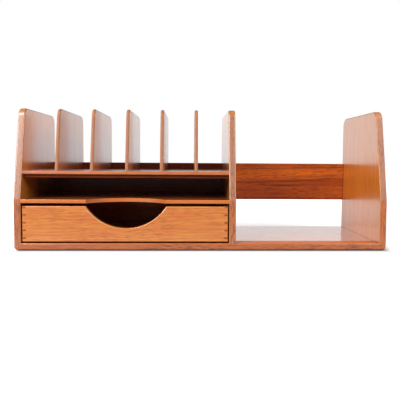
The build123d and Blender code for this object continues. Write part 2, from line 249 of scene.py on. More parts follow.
def make_arris_group():
    """Rubbed arrises: where the surface turns away from the three main planes."""
    group, given, result = new_group(
        "rubbed arris",
        [("Colour", COLOUR, None), ("Normal", VECTOR, None), ("Rubbed Colour", COLOUR, None),
         ("Amount", FLOAT, 0.5)],
        [("Colour", COLOUR)])
    size = put(group, "ShaderNodeVectorMath", {0: given.outputs["Normal"]}, operation="ABSOLUTE")
    parts = put(group, "ShaderNodeSeparateXYZ", {0: size.outputs[0]})
    largest = sum_up(group, "MAXIMUM", parts.outputs[0],
                     sum_up(group, "MAXIMUM", parts.outputs[1], parts.outputs[2]))
    turned = spread(group, largest, 0.95, 0.8)
    mask = sum_up(group, "MULTIPLY", turned, given.outputs["Amount"])
    group.links.new(blend(group, mask, given.outputs["Colour"], given.outputs["Rubbed Colour"]),
                    result.inputs["Colour"])
    return group


def make_line_group():
    """A dark line of some width where a distance passes through zero: at a joint, where it is also painted
    shade in the inside corner, and as a heart streak.
    """
    group, given, result = new_group(
        "dark line",
        [("Colour", COLOUR, None), ("Distance", FLOAT, 0.0), ("Half Width", FLOAT, 0.001),
         ("Depth", FLOAT, 0.6)],
        [("Colour", COLOUR)])
    away = sum_up(group, "DIVIDE", sum_up(group, "ABSOLUTE", given.outputs["Distance"]),
                  given.outputs["Half Width"])
    mask = sum_up(group, "MULTIPLY", spread(group, away, 1.0, 0.35), given.outputs["Depth"])
    darker = tinted(group, given.outputs["Colour"], LINE_TINT)
    group.links.new(blend(group, mask, given.outputs["Colour"], darker), result.inputs["Colour"])
    return group


def make_lipping_group():
    """The solid edge along the front of a board: mottled, plainer, and duller than the faces behind it.
    Also painted shade on faces turned upward.
    """
    group, given, result = new_group(
        "front lipping",
        [("Colour", COLOUR, None), ("Lipping Colour", COLOUR, None), ("Streak Colour", COLOUR, None),
         ("Band Colour", COLOUR, None), ("Normal", VECTOR, None), ("Place", VECTOR, None),
         ("Mottle", FLOAT, 0.0), ("Back Edge", FLOAT, -1.0), ("Front Amount", FLOAT, 0.5),
         ("Band Amount", FLOAT, 0.8), ("Mottle Amount", FLOAT, 0.5), ("Front Dull", FLOAT, 0.45),
         ("Upturned Shade Amount", FLOAT, 0.0)],
        [("Colour", COLOUR), ("Dull", FLOAT)])
    facing = put(group, "ShaderNodeSeparateXYZ", {0: given.outputs["Normal"]})
    where = put(group, "ShaderNodeSeparateXYZ", {0: given.outputs["Place"]})
    front = spread(group, facing.outputs[1], -0.25, -0.75)
    depth = sum_up(group, "SUBTRACT", where.outputs[1], given.outputs["Back Edge"])
    band = sum_up(group, "MULTIPLY", spread(group, depth, BAND_BLUR, -BAND_BLUR),
                  spread(group, facing.outputs[2], 0.5, 0.8))
    colour = blend(group, sum_up(group, "MULTIPLY", front, given.outputs["Front Amount"]),
                   given.outputs["Colour"], given.outputs["Lipping Colour"])
    colour = blend(group, sum_up(group, "MULTIPLY", band, given.outputs["Band Amount"]), colour,
                   given.outputs["Band Colour"])
    # painted shade on faces turned upward, such as the leaning front edges and the tops
    upturned_shade = sum_up(group, "MULTIPLY", spread(group, facing.outputs[2], 0.08, 0.18),
                  given.outputs["Upturned Shade Amount"])
    colour = blend(group, upturned_shade, colour, tinted(group, colour, UPTURNED_SHADE_TINT))
    dark = sum_up(group, "MULTIPLY", sum_up(group, "MULTIPLY", front, given.outputs["Mottle"]),
                  given.outputs["Mottle Amount"])
    group.links.new(blend(group, dark, colour, given.outputs["Streak Colour"]), result.inputs["Colour"])
    dull = sum_up(group, "MAXIMUM", sum_up(group, "MULTIPLY", front, given.outputs["Front Dull"]),
                  sum_up(group, "MULTIPLY", band, BAND_DULL))
    group.links.new(dull, result.inputs["Dull"])
    return group


def make_bay_shade_group():
    """Painted shade inside the drawer bay. It is painted, so it stays with the drawer open."""
    group, given, result = new_group(
        "drawer bay",
        [("Colour", COLOUR, None), ("Place", VECTOR, None), ("Amount", FLOAT, 0.8)],
        [("Colour", COLOUR)])
    where = put(group, "ShaderNodeSeparateXYZ", {0: given.outputs["Place"]})
    inside = 1.0
    for axis, low, high in ((0, LEFT_WALL, PARTITION_LEFT), (2, BASE_TOP, SHELF_UNDERSIDE),
                            (1, solid_box[0].y + BAY_SETBACK, solid_box[1].y)):
        middle, half = (low + high) / 2, (high - low) / 2 + BAY_MARGIN
        away = sum_up(group, "ABSOLUTE", sum_up(group, "SUBTRACT", where.outputs[axis], middle))
        inside = sum_up(group, "MULTIPLY", inside, sum_up(group, "LESS_THAN", away, half))
    amount = sum_up(group, "MULTIPLY", inside, given.outputs["Amount"])
    darker = tinted(group, given.outputs["Colour"], BAY_SHADE_TINT)
    group.links.new(blend(group, amount, given.outputs["Colour"], darker), result.inputs["Colour"])
    return group


GROUPS = {}


def place_group(tree, name, inputs):
    """Put a shared group into a material."""
    if not GROUPS:
        GROUPS["figure"] = make_figure_group()
        GROUPS["end grain"] = make_end_grain_group()
        GROUPS["arris"] = make_arris_group()
        GROUPS["line"] = make_line_group()
        GROUPS["lipping"] = make_lipping_group()
        GROUPS["bay"] = make_bay_shade_group()
    return put(tree, "ShaderNodeGroup", inputs, node_tree=GROUPS[name])


# How the pattern is turned so that the grain runs along an axis, and that axis.
GRAIN_TURNS = {
    "X": ((0.0, 0.0, 0.0), (1.0, 0.0, 0.0)),
    "Y": ((0.0, 0.0, -math.pi / 2), (0.0, 1.0, 0.0)),
    "Z": ((0.0, math.pi / 2, 0.0), (0.0, 0.0, 1.0)),
}
BOARD_NUMBER = "board_number"
BOARD_STEP = (0.37, 0.11, 0.23)         # from one board's pattern to the next one's
HEART_NOISE = ((3.5, 12.0, 12.0), 2.0)
HEART_DRIFT = 0.006
FRONT_FACES = (-0.5, -0.8)              # ranges of the normal's Y or Z over which a mask comes up
SIDE_FACES = (0.5, 0.2)
BACK_FACES = (0.2, 0.6)
UNDER_FACES = (-0.3, -0.8)
# how softly and how deeply the painted shade left of a place comes in
LEFT_SHADE_BLUR = 0.002
LEFT_SHADE_DEPTH = 0.6
OUTER_SKIN = (0.002, 0.004)             # joint lines end this far inside the outer faces
WORN_DEPTH = (-0.060, 0.0)              # Y over which the worn coat comes back to full
PORE_DULL = 0.15
END_DULL = 0.42
EDGE_DULL = 0.18
RELIEF_STRENGTH = 0.12
RELIEF_HEIGHT = 0.0003


def timber(name, grain, shift, colours, band_width=0.02, wander=0.02, bands=1.0, streaks=0.5, dashes=0.4,
           flecks=0.3, pores=0.4, slope=0.0, hearts=(), numbered=False, roughness=0.33, coat=1.0,
           coat_roughness=0.18, gloss=1.8, body=1.5, worn=0.0, arris=0.5, end_depth=0.6, shade=1.0,
           bay=0.0, shaded_left_of=None, front=0.0, front_dull=0.45, upturned_shade=0.0, mottle=0.45, band_edge=-1.0,
           band=(1.0, 1.0, 1.0), joints=(), front_joints=False):
    """A timber finish, with lengths in metres and amounts from 0 to 1.

    Board: the axis that the grain runs along, the shift and slope of its pattern, and its colours: pale
    bands, deep bands, streaks, front edge. A numbered row gives each of its boards a pattern of its own.
    Figure: bands, streaks, dashes, flecks and pores, and hearts as (height, half width, depth).
    Oil: roughness of the wood, the coat and its roughness, gloss (the coat's IOR) and body (the IOR below
    it), and how far the coat is worn off towards the front.
    Painted on: rubbed arrises in the pale colour and darker end grain; painted shade on undersides (shade,
    where 1 is none), inside the drawer bay and on front faces left of a place.
    Front edge: its amount, dullness, painted shade on faces turned upward (leaning parts and tops) and
    mottle, and a solid band on top as far back as band_edge. Dark lines at the joints, with painted shade
    in the inside corners, are (axis, place, half width, depth), on the front only or on the faces beside
    it.
    """
    pale, deep, streak, lipping = (tuple(part) + (1.0,) for part in colours)
    turn, axis = GRAIN_TURNS[grain]
    turn = (turn[0], turn[1] + slope, turn[2])
    material = bpy.data.materials.new(name)
    material.use_nodes = True
    tree = material.node_tree
    board = tree.nodes["Principled BSDF"]
    where = put(tree, "ShaderNodeTexCoord")
    normal = put(tree, "ShaderNodeNewGeometry").outputs["Normal"]
    facing = put(tree, "ShaderNodeSeparateXYZ", {0: normal})
    turned = put(tree, "ShaderNodeMapping", {"Vector": where.outputs["Object"], "Location": shift,
                                             "Rotation": turn})
    place = turned.outputs[0]
    if numbered:
        number = put(tree, "ShaderNodeAttribute", attribute_name=BOARD_NUMBER)
        apart = put(tree, "ShaderNodeVectorMath", {0: number.outputs["Vector"], 1: BOARD_STEP},
                    operation="MULTIPLY")
        place = put(tree, "ShaderNodeVectorMath", {0: place, 1: apart.outputs[0]}).outputs[0]
    figure = place_group(tree, "figure", {
        "Place": place, "Pale Colour": pale, "Deep Colour": deep, "Streak Colour": streak,
        "Band Width": band_width, "Wander": wander, "Bands": bands, "Dashes": dashes,
        "Streaks": streaks, "Flecks": flecks, "Pores": pores})
    colour = figure.outputs["Colour"]
    parts = put(tree, "ShaderNodeSeparateXYZ", {0: where.outputs["Object"]})
    if hearts:
        drift = spread(tree, speckle(tree, place, *HEART_NOISE), 0.3, 0.7, -HEART_DRIFT, HEART_DRIFT)
    for height, half_width, depth in hearts:
        away = sum_up(tree, "SUBTRACT", sum_up(tree, "ADD", parts.outputs[2], drift), height)
        colour = place_group(tree, "line", {"Colour": colour, "Distance": away, "Half Width": half_width,
                                            "Depth": depth}).outputs[0]
    ends = place_group(tree, "end grain", {
        "Colour": colour, "Normal": normal, "Grain Axis": axis, "Depth": end_depth})
    lip = place_group(tree, "lipping", {
        "Colour": ends.outputs["Colour"], "Lipping Colour": lipping, "Streak Colour": streak,
        "Band Colour": (*band, 1.0), "Normal": normal, "Place": where.outputs["Object"],
        "Mottle": figure.outputs["Mottle"], "Back Edge": band_edge, "Front Amount": front,
        "Mottle Amount": mottle, "Front Dull": front_dull, "Upturned Shade Amount": upturned_shade})
    colour = lip.outputs["Colour"]
    # painted shade on the front faces left of a place
    if shaded_left_of is not None:
        left_shade = spread(tree, parts.outputs[0], shaded_left_of + LEFT_SHADE_BLUR, shaded_left_of - LEFT_SHADE_BLUR,
                        0.0, LEFT_SHADE_DEPTH)
        left_shade = sum_up(tree, "MULTIPLY", left_shade, spread(tree, facing.outputs[1], *FRONT_FACES))
        colour = blend(tree, left_shade, colour, streak)
    # painted shade on the undersides
    if shade < 1.0:
        under = spread(tree, facing.outputs[2], *UNDER_FACES)
        colour = blend(tree, under, colour, tinted(tree, colour, (shade, shade, shade, 1.0)))
    colour = place_group(tree, "arris", {
        "Colour": colour, "Normal": normal, "Rubbed Colour": pale, "Amount": arris}).outputs["Colour"]
    # dark lines at the joints: the joint itself and painted shade in the inside corners
    if joints:
        if front_joints:
            shown = spread(tree, facing.outputs[1], *FRONT_FACES)
        else:
            shown = spread(tree, sum_up(tree, "ABSOLUTE", facing.outputs[1]), *SIDE_FACES)
        aside = sum_up(tree, "ABSOLUTE", parts.outputs[0])
        indoors = spread(tree, aside, *(solid_box[1].x - skin for skin in OUTER_SKIN))
        shown = sum_up(tree, "MULTIPLY", shown, indoors)
    for axis_name, spot, half_width, depth in joints:
        away = sum_up(tree, "SUBTRACT", parts.outputs["XYZ".index(axis_name)], spot)
        colour = place_group(tree, "line", {
            "Colour": colour, "Distance": away, "Half Width": half_width,
            "Depth": sum_up(tree, "MULTIPLY", shown, depth)}).outputs[0]
    # painted shade inside the drawer bay
    if bay > 0.0:
        colour = place_group(tree, "bay", {"Colour": colour, "Place": where.outputs["Object"],
                                           "Amount": bay}).outputs["Colour"]
    tree.links.new(colour, board.inputs["Base Color"])
    board.inputs["Coat Weight"].default_value = coat
    board.inputs["Coat Roughness"].default_value = coat_roughness
    board.inputs["IOR"].default_value = body
    board.inputs["Coat IOR"].default_value = gloss
    bare = ends.outputs["End"]
    dull = spread(tree, figure.outputs["Pore Mask"], 0.0, 1.0, roughness, roughness + PORE_DULL)
    dull = sum_up(tree, "MULTIPLY_ADD", bare, END_DULL, dull)
    if front or band_edge > -1.0:
        bare = sum_up(tree, "MAXIMUM", bare, lip.outputs["Dull"])
        dull = sum_up(tree, "MULTIPLY_ADD", lip.outputs["Dull"], EDGE_DULL, dull)
    if worn > 0.0:
        bare = sum_up(tree, "MAXIMUM", bare, spread(tree, parts.outputs[1], *WORN_DEPTH, worn, 0.0))
    bare = sum_up(tree, "MAXIMUM", bare, spread(tree, facing.outputs[1], *BACK_FACES))
    if coat > 0.0:
        tree.links.new(spread(tree, bare, 0.0, 1.0, coat, 0.0), board.inputs["Coat Weight"])
    tree.links.new(dull, board.inputs["Roughness"])
    relief = put(tree, "ShaderNodeBump", {"Strength": RELIEF_STRENGTH, "Distance": RELIEF_HEIGHT,
                                          "Height": figure.outputs["Height"]})
    tree.links.new(relief.outputs[0], board.inputs["Normal"])
    return material


def clothe(node, material):
    """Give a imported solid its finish."""
    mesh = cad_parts[node].data
    mesh.materials.clear()
    mesh.materials.append(material)


# ---- Sizes and colours ----

def swatch(name, description, default):
    """A colour that a user can change."""
    return FloatVectorProperty(name=name, description=description, subtype="COLOR", min=0.0, max=1.0,
                               default=default)


class SorterTimber(bpy.types.PropertyGroup):
    """Colours and sheen of the timbers."""
    case_pale: swatch("Case, pale", "Pale bands of the level boards", (0.72, 0.200, 0.034))
    case_deep: swatch("Case, deep", "Deep bands of the level boards", (0.60, 0.130, 0.018))
    case_streak: swatch("Case, streaks", "Dark streaks and pores of the case", (0.20, 0.045, 0.015))
    case_edge: swatch("Case, edges", "Solid edges of the case boards", (0.66, 0.170, 0.045))
    base_band: swatch("Base, front band", "Solid band along the front of the base", (0.62, 0.140, 0.010))
    shelf_edge: swatch("Lower shelf, edge", "Solid edge of the lower shelf", (0.90, 0.250, 0.046))
    upright_pale: swatch("Uprights, pale", "Pale bands of sides and partition", (0.78, 0.265, 0.026))
    upright_deep: swatch("Uprights, deep", "Deep bands of sides and partition", (0.64, 0.190, 0.016))
    divider_pale: swatch("Dividers, pale", "Pale bands of the dividers", (0.60, 0.190, 0.022))
    divider_deep: swatch("Dividers, deep", "Deep bands of the dividers", (0.47, 0.130, 0.013))
    rail_pale: swatch("Rail, pale", "Pale bands of the back rail", (0.86, 0.200, 0.020))
    rail_deep: swatch("Rail, deep", "Deep bands of the back rail", (0.40, 0.062, 0.007))
    rail_streak: swatch("Rail, streaks", "Dark streaks of the back rail", (0.12, 0.020, 0.006))
    front_pale: swatch("Drawer front, pale", "Pale bands of the drawer front", (0.99, 0.365, 0.060))
    front_deep: swatch("Drawer front, deep", "Deep bands of the drawer front", (0.84, 0.205, 0.048))
    front_streak: swatch("Drawer front, streaks", "Dark streaks of the front", (0.50, 0.10, 0.030))
    joint_pale: swatch("Joint pieces, pale", "Beech of dowels and tongues", (0.62, 0.40, 0.22))
    joint_deep: swatch("Joint pieces, deep", "Deeper bands of the beech", (0.50, 0.29, 0.14))
    roughness: FloatProperty(
        name="Roughness", description="Roughness of the wood under the oil", subtype="FACTOR",
        min=0.0, max=1.0, default=0.33)


class SorterSizes(bpy.types.PropertyGroup):
    """Sizes of the dividers."""
    divider_count: IntProperty(
        name="Dividers", description="Uprights between the letter slots, from the left", min=1, max=5,
        default=5)
    divider_thickness: FloatProperty(
        name="Divider thickness", description="Thickness of one divider", unit="LENGTH",
        min=0.003, max=0.02, default=0.007)
    divider_arris: FloatProperty(
        name="Divider arris", description="Radius of the rounded rims of a divider", unit="LENGTH",
        min=0.0005, max=0.003, default=0.0025)
    corner_radius: FloatProperty(
        name="Top corners", description="Radius of the top corners of a divider", unit="LENGTH",
        min=0.002, max=0.03, default=0.020)
    groove: FloatProperty(
        name="Divider groove", description="How deep a divider stands in the shelf", unit="LENGTH",
        min=0.0, max=0.005, default=0.0025)
    lipping_depth: FloatProperty(
        name="Front lipping", description="Width of the solid front band of the base board",
        unit="LENGTH", min=0.0, max=0.1, default=0.033)


class SorterStudio(bpy.types.PropertyGroup):
    """Camera and light."""
    lens: FloatProperty(
        name="Lens", description="Focal length of the camera", unit="CAMERA", min=20.0, max=200.0,
        default=44.1)
    key_power: FloatProperty(
        name="Soft box", description="Power of the large soft box at the left", unit="POWER",
        min=0.0, max=200.0, default=116.0)
    fill_power: FloatProperty(
        name="Second soft box", description="Power of the weaker soft box at the right", unit="POWER",
        min=0.0, max=200.0, default=58.0)
    sky: FloatProperty(
        name="Room light", description="Strength of the even light of the room", min=0.0, max=2.0,
        default=0.02)
    room_reflection: FloatProperty(
        name="Room in reflections", description="How bright the room beside and above is mirrored",
        min=0.0, max=1.0, default=0.04)
    back_light: FloatProperty(
        name="Backdrop light", description="Strength of the light that the pale backdrop throws forward",
        min=0.0, max=2.0, default=0.35)
    front_reflection: FloatProperty(
        name="Wall in reflections", description="How bright the wall ahead, above eye level, is mirrored",
        min=0.0, max=1.0, default=0.6)
    floor_colour: swatch("Floor", "Colour of the plain floor", (0.8, 0.8, 0.8))
    floor_bounce: swatch("Floor, unseen", "Colour with which the floor lights the object",
                         (0.2, 0.2, 0.2))


# ---- Pieces ----

class SorterOperator:
    """What the operators share."""
    bl_options = {"REGISTER", "UNDO"}


# half width of a dark joint line with its painted shade in the inside corner
JOINT_SHADE_HALF_WIDTH = 0.0022


def joint_shade_lines(*places, axis="X", depth=0.6):
    """Dark joint lines across a board at some places along an axis, with painted shade in the inside
    corners.
    """
    return [(axis, place, JOINT_SHADE_HALF_WIDTH, depth) for place in places]


class SORTER_OT_uprights(SorterOperator, bpy.types.Operator):
    """Finish the two sides and the partition"""
    bl_idname = "sorter.uprights"
    bl_label = "Uprights"

    def execute(self, context):
        look = context.scene.sorter_timber
        colours = (look.upright_pale, look.upright_deep, look.case_streak, look.case_edge)
        boards = (("left_side", (0.11, 0.0, 0.02), 0.45, 0.3),
                  ("right_side", (0.62, 0.07, -0.04), 0.9, 0.0),
                  ("middle_partition", (1.3, -0.05, 0.09), 0.4, 0.0))
        for node, shift, edge_dull, worn in boards:
            # painted shade on faces turned upward and inside the drawer bay
            clothe(node, timber(
                f"teak {node}", "Z", shift, colours, streaks=0.06, flecks=0.15, pores=0.5,
                roughness=look.roughness, gloss=2.0, body=1.9, worn=worn, end_depth=0.4, bay=0.8,
                front=0.85, front_dull=edge_dull, upturned_shade=1.0, mottle=0.85,
                joints=joint_shade_lines(BASE_TOP, axis="Z")))
        return {"FINISHED"}


class SORTER_OT_level_boards(SorterOperator, bpy.types.Operator):
    """Finish the base board, the two shelves and the strip"""
    bl_idname = "sorter.level_boards"
    bl_label = "Level boards"

    def execute(self, context):
        look = context.scene.sorter_timber
        sizes = context.scene.sorter_sizes
        colours = (look.case_pale, look.case_deep, look.case_streak, look.case_edge)
        # the lower shelf takes darker case colours: painted shade for its top inside the tray; it also
        # gets painted shade underneath and in the drawer bay
        shelf = (look.case_deep, look.case_streak, look.case_streak, look.shelf_edge)
        ends = joint_shade_lines(LEFT_WALL, PARTITION_LEFT)
        # painted shade inside the drawer bay
        clothe("base_board", timber(
            "teak base_board", "X", (0.2, 0.4, 0.0), colours, flecks=0.75,
            roughness=look.roughness - 0.06, coat_roughness=0.11, gloss=1.9, bay=0.8, front=0.5,
            mottle=0.7, band_edge=solid_box[0].y + sizes.lipping_depth, band=look.base_band,
            joints=joint_shade_lines(LEFT_WALL, PARTITION_RIGHT, RIGHT_WALL)))
        clothe("lower_shelf", timber(
            "teak lower_shelf", "X", (0.9, 0.1, 0.3), shelf, roughness=look.roughness, shade=0.3,
            bay=0.8, front=0.9, front_dull=0.2, mottle=0.2, joints=ends))
        # painted shade underneath
        clothe("upper_shelf", timber(
            "teak upper_shelf", "X", (1.7, 0.2, 0.1), colours, roughness=look.roughness, shade=0.3,
            front=0.4, joints=ends))
        # the strip takes the rail's deep and streak colours: painted shade for its place back under the
        # upper shelf's front
        strip = (look.rail_deep, look.rail_streak, look.rail_streak, look.rail_deep)
        clothe("upper_shelf_front_strip", timber(
            "teak upper_shelf_front_strip", "X", (2.2, 0.0, 0.2), strip, roughness=0.6, coat=0.0,
            body=1.3))
        return {"FINISHED"}


class SORTER_OT_rail(SorterOperator, bpy.types.Operator):
    """Finish the back rail"""
    bl_idname = "sorter.rail"
    bl_label = "Back rail"

    def execute(self, context):
        look = context.scene.sorter_timber
        colours = (look.rail_pale, look.rail_deep, look.rail_streak, look.rail_deep)
        # painted shade on the rail's front left of the partition, behind the letter slots
        clothe("back_rail", timber(
            "teak back_rail", "X", (0.9, 0.34, 0.11), colours, band_width=0.016, wander=0.012,
            bands=1.1, streaks=0.9, dashes=0.15, hearts=((0.1325, 0.003, 0.45), (0.088, 0.003, 0.30)),
            roughness=look.roughness, coat=0.4, gloss=1.45, body=1.45, shaded_left_of=PARTITION_RIGHT,
            joints=joint_shade_lines(PARTITION_RIGHT, RIGHT_WALL), front_joints=True))
        return {"FINISHED"}


CORNER_STEPS = 10
ARRIS_STEPS = 4
ARRIS_ANGLE = math.radians(50.0)
LEAN = 0.039                    # how far the front edge's top lies behind its upright part
DIVIDER_SETBACK = 0.0025
TINY = 1e-5


def rounded_outline(corners):
    """Points of a closed outline, from (point, radius) corners, with an arc at each radius."""
    points = []
    for place, (corner, radius) in enumerate(corners):
        if not radius:
            points.append(corner)
            continue
        before = (corners[place - 1][0] - corner).normalized()
        after = (corners[(place + 1) % len(corners)][0] - corner).normalized()
        half = before.angle(after) / 2
        centre = corner + (before + after).normalized() * (radius / math.sin(half))
        start = corner + before * (radius / math.tan(half)) - centre
        sweep = math.pi - 2 * half
        turn = 1.0 if before.cross(after) < 0 else -1.0
        for step in range(CORNER_STEPS + 1):
            spin = Matrix.Rotation(turn * sweep * step / CORNER_STEPS, 2)
            points.append(centre + spin @ start)
    return points


def divider_blank(sizes):
    """The first divider: leaning front, round top corners, notched over the rail, rims rounded."""
    lowest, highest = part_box("letter_divider_1")
    rail_low, rail_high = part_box("back_rail")
    top_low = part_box("upper_shelf")[1].z
    foot = top_low - sizes.groove
    lean_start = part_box("lower_shelf")[1].z
    lean = LEAN / (solid_box[1].z - lean_start)

    def front(z):
        return solid_box[0].y + DIVIDER_SETBACK + lean * (z - lean_start)

    radius = sizes.corner_radius
    corners = [(Vector((front(foot), foot)), 0.0), (Vector((front(highest.z), highest.z)), radius),
               (Vector((highest.y, highest.z)), radius), (Vector((highest.y, rail_high.z)), 0.0),
               (Vector((rail_low.y, rail_high.z)), 0.0), (Vector((rail_low.y, foot)), 0.0)]
    points = rounded_outline(corners)
    mesh = bmesh.new()
    near = [mesh.verts.new((lowest.x, y, z)) for y, z in points]
    far = [mesh.verts.new((lowest.x + sizes.divider_thickness, y, z)) for y, z in points]
    mesh.faces.new(near)
    mesh.faces.new(reversed(far))
    count = len(points)
    for place in range(count):
        after = (place + 1) % count
        mesh.faces.new((near[after], near[place], far[place], far[after]))
    bmesh.ops.recalc_face_normals(mesh, faces=mesh.faces)
    rims = []
    for edge in mesh.edges:
        first, second = edge.verts
        middle = (first.co + second.co) / 2
        along_rim = abs(first.co.x - second.co.x) < TINY
        in_notch = middle.y > rail_low.y - TINY and middle.z < rail_high.z + TINY
        if along_rim and middle.z > foot + TINY and not in_notch:
            rims.append(edge)
    bmesh.ops.bevel(mesh, geom=rims, offset=sizes.divider_arris, segments=ARRIS_STEPS, profile=0.5,
                    affect="EDGES", clamp_overlap=False)
    data = bpy.data.meshes.new("divider blank")
    mesh.to_mesh(data)
    mesh.free()
    data.shade_smooth()
    data.set_sharp_from_angle(angle=ARRIS_ANGLE)
    return data


def divider_tree():
    """Copies of the blank in a row, each with its number, in one finish."""
    tree = bpy.data.node_groups.new("row of boards", "GeometryNodeTree")
    sockets = tree.interface
    sockets.new_socket("Geometry", in_out="INPUT", socket_type="NodeSocketGeometry")
    sockets.new_socket("Count", in_out="INPUT", socket_type="NodeSocketInt")
    sockets.new_socket("Spacing", in_out="INPUT", socket_type="NodeSocketFloat")
    sockets.new_socket("Finish", in_out="INPUT", socket_type="NodeSocketMaterial")
    sockets.new_socket("Geometry", in_out="OUTPUT", socket_type="NodeSocketGeometry")
    given = tree.nodes.new("NodeGroupInput")
    result = tree.nodes.new("NodeGroupOutput")
    step = put(tree, "ShaderNodeCombineXYZ", {0: given.outputs["Spacing"]})
    row = put(tree, "GeometryNodeMeshLine", {"Count": given.outputs["Count"],
                                             "Offset": step.outputs[0]})
    boards = put(tree, "GeometryNodeInstanceOnPoints", {"Points": row.outputs[0],
                                                        "Instance": given.outputs["Geometry"]})
    number = put(tree, "GeometryNodeInputIndex")
    marked = put(tree, "GeometryNodeStoreNamedAttribute",
                 {"Geometry": boards.outputs[0], "Name": BOARD_NUMBER, "Value": number.outputs[0]},
                 data_type="FLOAT", domain="INSTANCE")
    real = put(tree, "GeometryNodeRealizeInstances", {0: marked.outputs[0]})
    finished = put(tree, "GeometryNodeSetMaterial", {"Geometry": real.outputs[0],
                                                     "Material": given.outputs["Finish"]})
    tree.links.new(finished.outputs[0], result.inputs[0])
    return tree


def set_input(modifier, name, value):
    """Set a modifier's input by the identifier of its socket."""
    for item in modifier.node_group.interface.items_tree:
        if item.item_type == "SOCKET" and item.in_out == "INPUT" and item.name == name:
            modifier[item.identifier] = value


def settle(piece):
    """Turn what a piece's modifiers make into its plain mesh, and take the modifiers off."""
    graph = bpy.context.evaluated_depsgraph_get()
    made = bpy.data.meshes.new_from_object(piece.evaluated_get(graph), preserve_all_data_layers=True,
                                           depsgraph=graph)
    piece.modifiers.clear()
    made.name = piece.name
    piece.data = made


class SORTER_OT_dividers(SorterOperator, bpy.types.Operator):
    """Make the row of letter dividers"""
    bl_idname = "sorter.dividers"
    bl_label = "Letter dividers"

    def execute(self, context):
        look = context.scene.sorter_timber
        sizes = context.scene.sorter_sizes
        nodes = sorted(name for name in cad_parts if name.startswith("letter_divider_"))
        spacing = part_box(nodes[1])[0].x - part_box(nodes[0])[0].x
        colours = (look.divider_pale, look.divider_deep, look.case_streak, look.case_edge)
        # painted shade on faces turned upward
        finish = timber(
            "teak letter_dividers", "Z", (0.3, 0.1, 0.0), colours, streaks=0.25, flecks=0.4, numbered=True,
            roughness=look.roughness + 0.06, coat_roughness=0.22, gloss=2.1, body=1.9, worn=0.4,
            end_depth=0.4, front=0.7, front_dull=1.0, upturned_shade=1.0)
        row = bpy.data.objects.new("letter_dividers", divider_blank(sizes))
        context.scene.collection.objects.link(row)
        boards = row.modifiers.new("row", "NODES")
        boards.node_group = divider_tree()
        set_input(boards, "Count", sizes.divider_count)
        set_input(boards, "Spacing", spacing)
        set_input(boards, "Finish", finish)
        weigh = row.modifiers.new("even shading", "WEIGHTED_NORMAL")
        weigh.keep_sharp = True
        settle(row)
        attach(row, CASE)
        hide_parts(*nodes)
        return {"FINISHED"}


class SORTER_OT_drawer(SorterOperator, bpy.types.Operator):
    """Finish the drawer"""
    bl_idname = "sorter.drawer"
    bl_label = "Drawer"

    def execute(self, context):
        look = context.scene.sorter_timber
        front = (look.front_pale, look.front_deep, look.front_streak, look.front_deep)
        inner = (look.case_pale, look.case_deep, look.case_streak, look.case_edge)
        clothe("drawer_front", timber(
            "teak drawer_front", "X", (0.0, 0.12, 0.05), front, band_width=0.014, streaks=0.35,
            dashes=0.7, flecks=0.10, slope=0.02, roughness=look.roughness, end_depth=0.95))
        for node, grain in (("drawer_left_side", "Y"), ("drawer_right_side", "Y"),
                            ("drawer_back", "X"), ("drawer_bottom", "X")):
            clothe(node, timber(f"teak {node}", grain, (0.5, 0.2, 0.4), inner, roughness=0.45,
                                end_depth=0.45, coat=0.3))
        return {"FINISHED"}


class SORTER_OT_joint_pieces(SorterOperator, bpy.types.Operator):
    """Finish the runners, dowels and splines"""
    bl_idname = "sorter.joint_pieces"
    bl_label = "Runners and joint pieces"

    def execute(self, context):
        look = context.scene.sorter_timber
        teak = (look.case_pale, look.case_deep, look.case_streak, look.case_edge)
        beech = (look.joint_pale, look.joint_deep, look.case_deep, look.joint_deep)
        for node, grain, colours in (("drawer_runner_left", "Y", teak), ("drawer_runner_right", "Y", teak),
                                     ("rail_dowels", "X", beech), ("mitre_splines", "Y", beech)):
            clothe(node, timber(f"timber {node}", grain, (0.1, 0.2, 0.3), colours, roughness=0.55,
                                coat=0.0))
        return {"FINISHED"}


# ---- Studio ----

# The camera, as solved from the edges in the photograph. Angles are in radians.
CAMERA_PLACE = (-0.02649, -1.12126, 0.18829)
CAMERA_TURN = 0.0375
CAMERA_DIP = 0.0571
CAMERA_ROLL = 0.0069
CAMERA_SHIFT = (-0.0206, -0.0350)
SENSOR_WIDTH = 36.0
SOFT_BOX_SIZE = (2.0, 2.4)
LEFT_SOFT_BOX = (-2.03, -1.76, 1.91)
RIGHT_SOFT_BOX = (2.03, -1.76, 1.91)
LAMP_AIM = Vector((0.0, -0.05, 0.12))

# The floor. Its painted shadow round the foot of the case is set by distance, besides the shadow that the
# lamps cast.
FLOOR_REACH = 12.0
FLOOR_BEHIND = (-0.45, -0.05)   # Y over which the floor comes up in reflections
FLOOR_MIRRORED = 0.52
FOOT_INSET = 0.012
FOOT_FADE_RIGHT = 0.8
FOOT_FADE_LEFT = 2.5
# the floor's glow falls away at the foot of the case: part of the painted shadow there
NEAR_GLOW = (0.003, 0.030, 0.0, 0.66)
FAR_GLOW = (0.25, 0.9, 0.0, 0.3)
FOOT_SHADE = (0.0, 0.020, 0.15, 1.0)

# The room, as ranges of the Y or Z of a direction over which a part of it comes up.
BACKDROP_TURN = (-0.15, 0.30)
BACKDROP_TOP = (0.36, 0.17)
WALL_TURN = (-0.20, -0.50)
WALL_FOOT = (0.12, 0.30)
WALL_TOP = (0.95, 0.75)
GLOW_TURN = (-0.1, 0.5)
WHITE = (1.0, 1.0, 1.0, 1.0)


